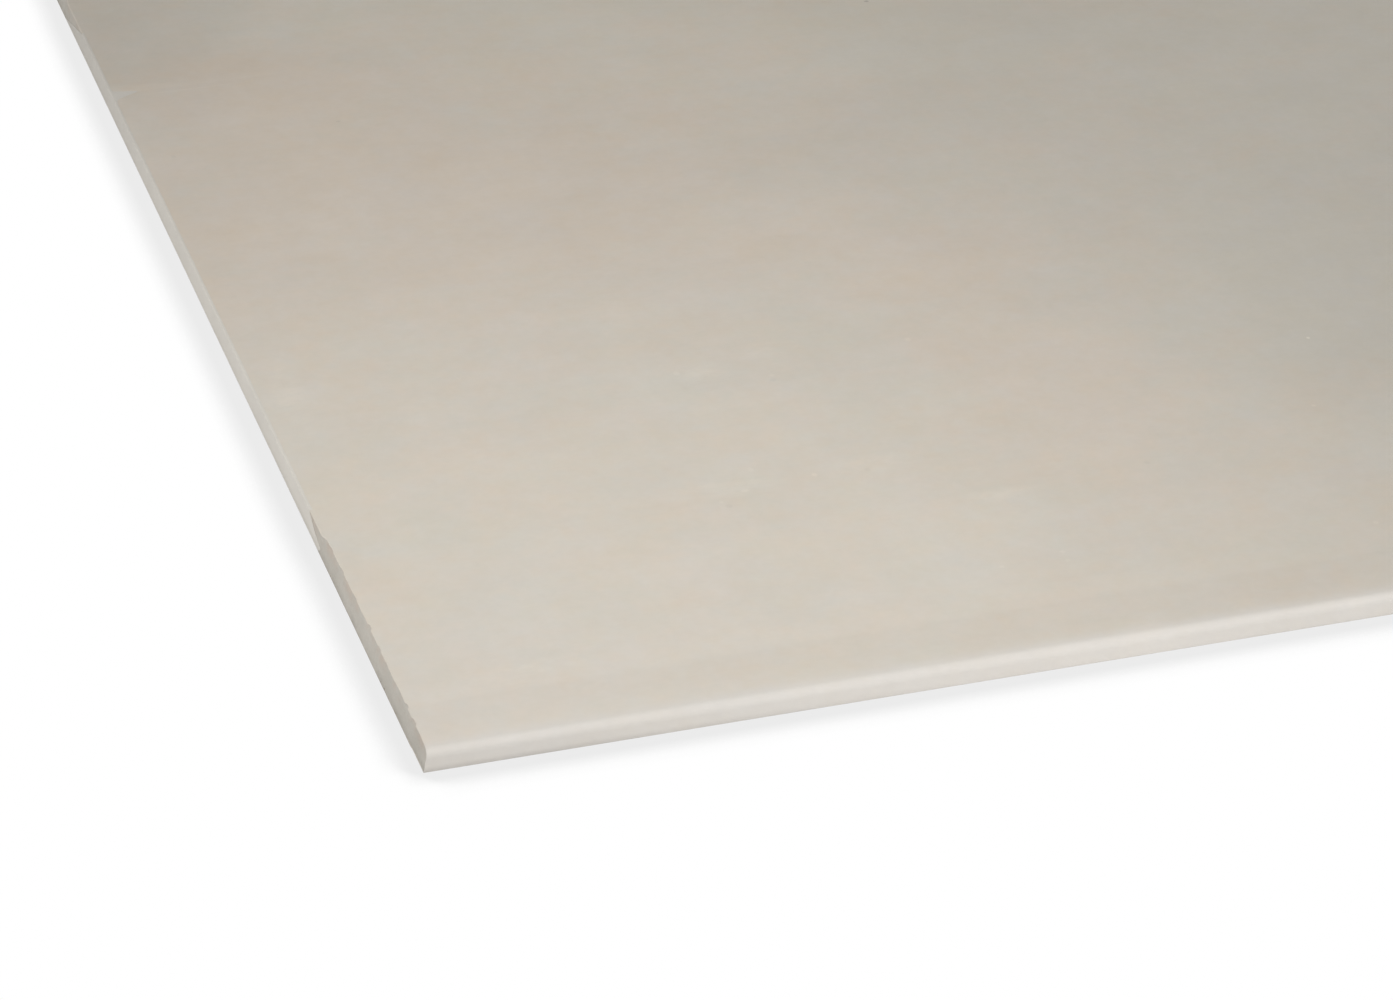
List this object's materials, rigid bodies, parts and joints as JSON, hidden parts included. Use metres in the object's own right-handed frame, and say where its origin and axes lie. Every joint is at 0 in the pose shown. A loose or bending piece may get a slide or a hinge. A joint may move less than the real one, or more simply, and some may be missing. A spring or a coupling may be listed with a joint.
{
  "type": "drywall sheet",
  "caption": "Flat gypsum board sheet with a paper face and back, tapered long edges and square cut ends, for lining walls and ceilings.",
  "frame": {"origin": "centre of the back face, which the sheet lies on", "axes": "+X along the long tapered edges, +Y across the sheet, +Z out of the finished face"},
  "size_m": [2.4386, 1.2192, 0.0127],
  "materials": {
    "face_paper": "matt ivory face paper",
    "tape_paper": "matt off-white paper tape",
    "back_paper": "matt grey recycled paper",
    "gypsum_core": "chalky, finely porous cut gypsum"
  },
  "bodies": {
    "root": {"gypsum_board": "face_paper", "end_tape": "tape_paper"}
  },
  "joints": []
}
